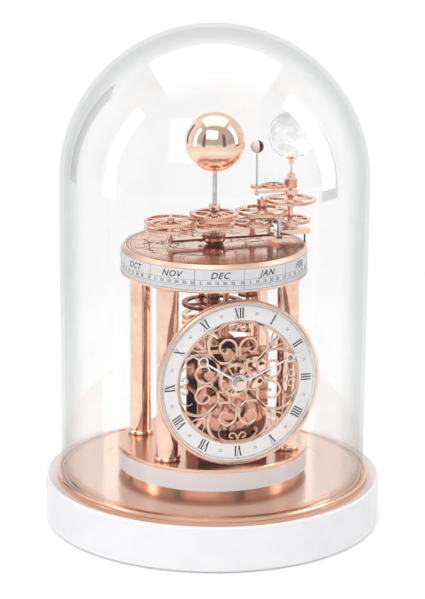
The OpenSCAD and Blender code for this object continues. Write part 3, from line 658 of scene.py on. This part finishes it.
def letterMesh(text, size, shear, spacing):
    # flat outline of a word in the plain built-in letters, in mm
    curve = bpy.data.curves.new("letters", "FONT")
    curve.body = text
    curve.size = size
    curve.shear = shear
    curve.offset = calendar["bold"]
    curve.space_character = spacing
    curve.align_x = "CENTER"
    curve.resolution_u = 3
    holder = bpy.data.objects.new("letters", curve)
    bpy.context.scene.collection.objects.link(holder)
    bpy.context.view_layer.update()
    flat = bpy.data.meshes.new_from_object(holder.evaluated_get(bpy.context.evaluated_depsgraph_get()))
    points = [tuple(v.co) for v in flat.vertices]
    faces = [list(p.vertices) for p in flat.polygons]
    bpy.data.objects.remove(holder)
    bpy.data.curves.remove(curve)
    bpy.data.meshes.remove(flat)
    return points, faces


def buildCalendarPrint():
    shape = Shape()
    radius = (high("calendar_ring", 0) - low("calendar_ring", 0)) / 2 / mm + calendar["proud"]
    foot = low("calendar_ring", 2) / mm
    words = {}

    def write(text, size, shear, spacing, turn, height, kind):
        key = (text, size)
        if key not in words:
            words[key] = letterMesh(text, size, shear, spacing)
        points, faces = words[key]
        around = math.radians(turn)
        shape.add([(radius * math.sin(around + x / radius), -radius * math.cos(around + x / radius),
                    foot + height + y) for x, y, z in points], faces, kind)

    def bar(turn, wide, bottom, top, kind):
        rows = []
        for x in (-wide / 2, wide / 2):
            a = math.radians(turn) + x / radius
            rows.append([(radius * math.sin(a), -radius * math.cos(a), foot + z) for z in (bottom, top)])
        shape.band(rows, closed=False, kind=kind)

    rules = calendar["rules"]
    for month, name in enumerate(calendar["months"]):
        start = 30 * month
        write(name, calendar["size"], calendar["shear"], calendar["spacing"], start + 15,
              calendar["monthFoot"], 0)
        days = calendar["lengths"][month]
        bar(start, calendar["monthLine"], rules[0], rules[3], 0)
        for day in range(1, days):
            tall = calendar["dayTall"] if day % 5 else calendar["fifthTall"]
            bar(start + 30 * day / days, calendar["dayTick"], rules[1] - tall, rules[1], 1)
        for day in (5, 10, 15, 20, 25, days):
            write(str(day), calendar["daySize"], 0.0, 1.0,
                  start + 30 * (day - calendar["dayBack"]) / days, calendar["dayFoot"], 1)
    for height in rules:
        line = [(radius, foot + height), (radius, foot + height + calendar["rule"])]
        shape.band(spun(line, 240, atZ))
    shape.piece("calendar_print", "case", [blackInk, greyInk], smooth=0)


buildCalendarPrint()
print("calendar print")


stars = {
    "seed": 7, "clusters": 44, "dots": 420,
    "rings": (72.4, 69.2, 58.0, 42.0, 27.0), "edgeRing": 0.5, "innerRing": 0.34,  # radii and widths
    "ticks": 180, "tickWide": 0.42, "tickShort": 1.6, "tickLong": 0.2,
    "spokes": 24, "spokeFrom": 28, "spokeTo": 68.5, "spokeWide": 0.22,
    "dotFrom": 16, "dotReach": 51, "starReach": 67, "starSize": 1.4, "starLine": 0.5,
    "ink": 0.04,
}


def buildStars():
    rng = random.Random(stars["seed"])
    shape = Shape()
    top = high("star_plate", 2) / mm
    ink = stars["ink"]

    def lay(outline):
        shape.slab(outline, lambda u, v, h: (u, v, top + h), ink)

    def dash(p, q, wide):
        along = (q - p).normalized()
        side = Vector((-along.y, along.x)) * wide / 2
        lay([tuple(p - side), tuple(q - side), tuple(q + side), tuple(p + side)])

    def star(x, y, size):
        points = []
        for k in range(10):
            a = math.pi * k / 5 + x
            r = size if k % 2 == 0 else size * 0.42
            points.append((x + r * math.cos(a), y + r * math.sin(a)))
        lay(points)

    for radius in stars["rings"]:
        wide = stars["edgeRing"] if radius in stars["rings"][:2] else stars["innerRing"]
        line = [(radius, top), (radius, top + ink), (radius - wide, top + ink), (radius - wide, top)]
        shape.band(spun(line, 180, atZ))
    outer, inner = stars["rings"][:2]
    for i in range(stars["ticks"]):
        a = 2 * math.pi * i / stars["ticks"]
        way = Vector((math.cos(a), math.sin(a)))
        start = inner + (stars["tickShort"] if i % 5 else stars["tickLong"])
        dash(way * start, way * outer, stars["tickWide"])
    for i in range(stars["spokes"]):
        a = 2 * math.pi * i / stars["spokes"]
        way = Vector((math.cos(a), math.sin(a)))
        dash(way * stars["spokeFrom"], way * stars["spokeTo"], stars["spokeWide"])
    for _ in range(stars["dots"]):
        a = rng.uniform(0, 2 * math.pi)
        r = stars["dotFrom"] + stars["dotReach"] * math.sqrt(rng.random())
        star(r * math.cos(a), r * math.sin(a), rng.uniform(0.35, 0.95))
    for _ in range(stars["clusters"]):
        a, r = rng.uniform(0, 2 * math.pi), rng.uniform(24, 62)
        at = Vector((r * math.cos(a), r * math.sin(a)))
        heading = rng.uniform(0, 2 * math.pi)
        for _ in range(rng.randint(3, 6)):
            heading += rng.uniform(-1.0, 1.0)
            step = Vector((math.cos(heading), math.sin(heading))) * rng.uniform(3, 7)
            if (at + step).length > stars["starReach"]:
                break
            dash(at, at + step, stars["starLine"])
            at = at + step
            star(at.x, at.y, stars["starSize"])
    shape.piece("star_plate_engraving", "case", [engraveInk], smooth=0)


buildStars()
print("star plate engraving")


globe = {"steps": 96, "arc": 48, "bore": 2.45, "clearance": 0.2}


def buildGlobe():
    ball = middle("crystal_ball") / mm
    radius = (high("crystal_ball", 0) - low("crystal_ball", 0)) / 2 / mm
    pin = high("earth_spindle", 2) / mm + globe["clearance"]
    bore = globe["bore"]
    centreZ = high("crystal_ball", 2) / mm - radius
    start = -90 + math.degrees(math.asin(bore / radius))
    profile = [(0.001, pin), (bore - 0.3, pin), (bore, pin - 0.3)]
    profile += arcPoints(0, centreZ, radius, start, 89.9, globe["arc"])
    shape = Shape()
    shape.band(spun(profile, globe["steps"], lambda u, v, h: (ball.x + u, ball.y + v, h)))
    shape.piece("crystal_globe", "earth", [finishes["crystal"]], ["crystal_ball"], smooth=50)


buildGlobe()
print("crystal globe")


def turned(shape, profile, at, axis, kind=0):
    # a profile of (radius, height) turned about an axis through a place
    spin = Vector(axis).normalized().to_track_quat("Z", "Y").to_matrix()
    start = Vector(at)
    shape.band(spun(profile, 32, lambda u, v, h: tuple(start + spin @ Vector((u, v, h)))), kind=kind)
    return spin


def screwHead(shape, at, axis, radius, tall):
    # the head takes the piece's first finish and the slot across it the second
    profile = [(radius * 0.9, -0.3), (radius, 0), (radius, tall * 0.7), (radius * 0.86, tall),
               (0.001, tall)]
    spin = turned(shape, profile, at, axis)
    across, reach = radius * 0.13, radius * 0.82
    corners = [Vector((u, v, tall + h)) for h in (-0.05, 0.02)
               for u, v in ((-reach, -across), (reach, -across), (reach, across), (-reach, across))]
    points = [tuple(Vector(at) + spin @ corner) for corner in corners]
    shape.add(points, [[4, 5, 6, 7], [0, 3, 2, 1], [0, 1, 5, 4], [1, 2, 6, 5], [2, 3, 7, 6], [3, 0, 4, 7]],
              1)


def knurledRing(shape, at, outer, inner, tall, ridges, depth):
    rows = []
    for i in range(ridges * 2):
        a = math.pi * i / ridges
        r = outer - (depth if i % 2 else 0)
        rows.append([(at[0] + q * math.cos(a), at[1] + q * math.sin(a), at[2] + h) for q, h in
                     ((inner, 0), (outer - 0.3, 0), (r, 0.3), (r, tall - 0.3), (outer - 0.3, tall),
                      (inner, tall))])
    shape.band(rows)


def setScrew(shape, middlePlace, turn, reach, radius, tall):
    # a screw in the side of a collar, turned from the front in degrees
    way = Vector((math.sin(math.radians(turn)), -math.cos(math.radians(turn)), 0))
    screwHead(shape, middlePlace + way * reach, way, radius, tall)


caseScrews = {
    "collarTurn": -24, "collarSink": 0.3, "collarRadius": 1.3, "collarTall": 0.5,
    # on the movement's front plate: side, then distance in from the side and down from the top
    "plate": [(-1, 5, 8), (-1, 5, 16), (1, 6, 9)], "plateRadius": 2.0, "plateTall": 1.0,
}


def buildCaseScrews():
    shape = Shape()
    collar = middle("sun_collar") / mm
    reach = (high("sun_collar", 0) - low("sun_collar", 0)) / 2 / mm - caseScrews["collarSink"]
    setScrew(shape, Vector((0, 0, collar.z)), caseScrews["collarTurn"], reach,
             caseScrews["collarRadius"], caseScrews["collarTall"])
    front = low("movement_plates", 1) / mm
    top = high("movement_plates", 2) / mm
    half = (high("movement_plates", 0) - low("movement_plates", 0)) / 2 / mm
    for side, inset, drop in caseScrews["plate"]:
        screwHead(shape, (side * (half - inset), front, top - drop), (0, -1, 0),
                  caseScrews["plateRadius"], caseScrews["plateTall"])
    shape.piece("case_screws", "case", [blackScrew, finishes["steel"]])


armFittings = {
    "leftLift": 0.4, "leftRadius": 2.6, "leftTall": 1.0,
    # knurled ring under the axis wheel
    "ringLift": 0.02, "ringOuter": 6.4, "ringInner": 5.1, "ringTall": 2.2, "ridges": 48, "ridge": 0.22,
    # pillars behind the earth's post: distance back along the arm, then place across it and height
    "pillarBack": 12.5, "pillars": [(-10.5, 10.5), (10.5, 8.0)],
    "setTurn": -30, "setReach": 3.4, "setDrop": 2.4, "setRadius": 1.0, "setTall": 0.4,
}


def buildArmFittings():
    shape = Shape()
    fit = armFittings
    earth = middle("earth_post") / mm
    barTop = high("arm_bar", 2) / mm
    left = middle("left_wheels") / mm
    screwHead(shape, (left.x, left.y, high("left_wheels", 2) / mm + fit["leftLift"]), (0, 0, 1),
              fit["leftRadius"], fit["leftTall"])
    knurledRing(shape, (earth.x, earth.y, barTop + fit["ringLift"]), fit["ringOuter"], fit["ringInner"],
                fit["ringTall"], fit["ridges"], fit["ridge"])
    for y, tall in fit["pillars"]:
        x = earth.x - fit["pillarBack"]
        pillar = [(1.9, 0), (2.3, 0.3), (2.3, 1.0), (1.5, 1.4), (1.5, tall - 1.6), (2.1, tall - 1.2),
                  (2.1, tall - 0.3), (1.7, tall), (0.001, tall)]
        cap = [(2.4, 0), (2.6, 0.3), (2.6, 1.1), (2.2, 1.5), (0.001, 1.6)]
        turned(shape, pillar, (x, y, barTop), (0, 0, 1))
        turned(shape, cap, (x, y, barTop + tall), (0, 0, 1), 2)
    collarZ = high("earth_post", 2) / mm - fit["setDrop"]
    setScrew(shape, Vector((earth.x, earth.y, collarZ)), fit["setTurn"], fit["setReach"],
             fit["setRadius"], fit["setTall"])
    shape.piece("arm_fittings", "arm", [finishes["steel"], blackScrew, finishes["rose_gold"]])


handCap = {"radius": 4.2, "foot": 1.6, "proud": 0.3}


def buildHandCap():
    shape = Shape()
    front = -low("minute_hand", 1) / mm + handCap["proud"]
    r, foot = handCap["radius"], front - handCap["foot"]
    profile = [(r, foot), (r, front - 0.6), (r - 0.25, front - 0.15), (r - 0.7, front),
               (r * 0.5, front + 0.12), (0.001, front + 0.15)]
    shape.band(spun(profile, 48, onDial))
    shape.piece("hand_cap", "minute_hand", [finishes["rose_gold"]])


buildCaseScrews()
buildArmFittings()
buildHandCap()
print("screws and fittings")


studio = {
    "sky": 0.54, "backGlow": 1.0, "frontGlow": 0.5,
    "floorColour": rgb(222, 222, 222), "cardColour": rgb(84, 60, 52),
    "floorGlow": 0.28, "floorSize": 6.0, "floorFade": (0.4, 1.1),
    # the side the back glow comes from, across and back, and where along it the glow begins and ends
    "backWay": (0.32, 0.95), "backFade": (-0.5, 0.55),
    "target": (0.0, 0.0, 0.19),
}
softboxes = [
    # place, size across, size up, watts, seen in the metal
    ((-0.75, -1.15, 1.35), 1.3, 1.0, 14.0, True),
    ((1.15, -0.35, 0.75), 0.35, 1.3, 4.5, True),
    ((-1.35, 0.25, 0.7), 0.3, 1.4, 4.5, True),
    ((0.1, 0.3, 1.7), 1.7, 1.5, 9.0, True),
    ((-0.6, -1.9, 0.45), 1.2, 0.8, 7.0, False),
]
darkCards = [
    # turn round the object in degrees, distance, width, height, lowest point
    (18, 1.5, 0.34, 1.3, 0.05),
    (-62, 1.5, 0.3, 1.3, 0.05),
    (75, 1.6, 0.5, 1.2, 0.0),
    (-150, 1.8, 0.4, 1.2, 0.0),
]


def buildFloor():
    size = studio["floorSize"]
    mesh = bpy.data.meshes.new("floor")
    mesh.from_pydata([(-size, -size, 0), (size, -size, 0), (size, size, 0), (-size, size, 0)], [],
                     [[0, 1, 2, 3]])
    finish = Finish("floorPaint", {"Roughness": 0.8, "Base Color": studio["floorColour"]})
    path = finish.add("ShaderNodeLightPath", {}, (), "Is Camera Ray")
    gloss = finish.add("ShaderNodeLightPath", {}, (), "Is Glossy Ray")
    glow = finish.add("ShaderNodeEmission", {}, {"Color": (1, 1, 1, 1),
                      "Strength": path.most(gloss) * studio["floorGlow"]})
    near = finish.add("ShaderNodeAddShader", {}, (finish.shader, glow))
    far = finish.add("ShaderNodeEmission", {}, {"Color": (1, 1, 1, 1), "Strength": path.most(gloss)})
    place = finish.place()
    x, y = finish.split(place, 0), finish.split(place, 1)
    away = ((x * x + y * y) ** 0.5).step(*studio["floorFade"])
    finish.show(finish.add("ShaderNodeMixShader", {}, (away, near, far)))
    mesh.materials.append(finish.material)
    floor = bpy.data.objects.new("floor", mesh)
    bpy.context.scene.collection.objects.link(floor)


def buildWorld():
    world = bpy.data.worlds.new("studio")
    bpy.context.scene.world = world
    world.use_nodes = True
    sky = Network(world.node_tree, "ShaderNodeOutputWorld")
    way = sky.add("ShaderNodeTexCoord", {}, (), "Generated")
    across, back = studio["backWay"]
    behind = (sky.split(way, 1) * back + sky.split(way, 0) * across).step(*studio["backFade"])
    seen = sky.add("ShaderNodeLightPath", {}, (), "Is Camera Ray")
    through = sky.add("ShaderNodeLightPath", {}, (), "Is Transmission Ray")
    gloss = sky.add("ShaderNodeLightPath", {}, (), "Is Glossy Ray")
    mirrored = gloss * (studio["frontGlow"] + (studio["backGlow"] - studio["frontGlow"]) * behind)
    level = seen.most(through).most(mirrored).most(studio["sky"])
    sky.show(sky.add("ShaderNodeBackground", {}, {"Color": (1, 1, 1, 1), "Strength": level}))


def buildLamps():
    target = Vector(studio["target"])
    for i, (place, across, up, watts, mirrored) in enumerate(softboxes):
        lamp = bpy.data.lights.new(f"softbox{i}", "AREA")
        lamp.shape = "RECTANGLE"
        lamp.size, lamp.size_y, lamp.energy = across, up, watts
        holder = bpy.data.objects.new(lamp.name, lamp)
        holder.location = place
        holder.visible_glossy = mirrored
        holder.rotation_euler = (target - Vector(place)).to_track_quat("-Z", "Y").to_euler()
        bpy.context.scene.collection.objects.link(holder)


def buildCards():
    brown = Finish("cardBrown", {"Roughness": 0.9, "Base Color": studio["cardColour"]})
    for i, (turn, distance, wide, tall, foot) in enumerate(darkCards):
        a = math.radians(turn)
        mid = Vector((distance * math.sin(a), -distance * math.cos(a), 0))
        side = Vector((math.cos(a), math.sin(a), 0)) * wide / 2
        mesh = bpy.data.meshes.new(f"card{i}")
        corners = [mid - side, mid + side, mid + side + Vector((0, 0, tall)),
                   mid - side + Vector((0, 0, tall))]
        mesh.from_pydata([(c.x, c.y, c.z + foot) for c in corners], [], [[0, 1, 2, 3]])
        mesh.materials.append(brown.material)
        card = bpy.data.objects.new(f"card{i}", mesh)
        card.visible_camera = card.visible_diffuse = card.visible_shadow = False
        card.visible_transmission = False
        bpy.context.scene.collection.objects.link(card)


view = {"turn": -18.5, "distance": 1.8517, "height": 0.675, "pitch": 14.736, "roll": 0.49,
        "lens": 138.74, "shift": -0.002}


def buildCamera():
    turn = math.radians(view["turn"])
    camera = bpy.data.cameras.new("camera")
    camera.lens = view["lens"]
    camera.sensor_width = 36
    camera.shift_x = view["shift"]
    holder = bpy.data.objects.new("camera", camera)
    aim = (Matrix.Rotation(turn, 4, "Z") @ Matrix.Rotation(math.radians(90 - view["pitch"]), 4, "X")
           @ Matrix.Rotation(math.radians(view["roll"]), 4, "Z"))
    place = Matrix.Translation((view["distance"] * math.sin(turn), -view["distance"] * math.cos(turn),
                                view["height"]))
    holder.matrix_world = place @ aim
    bpy.context.scene.collection.objects.link(holder)
    bpy.context.scene.camera = holder


buildFloor()
buildWorld()
buildLamps()
buildCards()
buildCamera()
bpy.context.scene.view_settings.view_transform = "Standard"
print("studio")
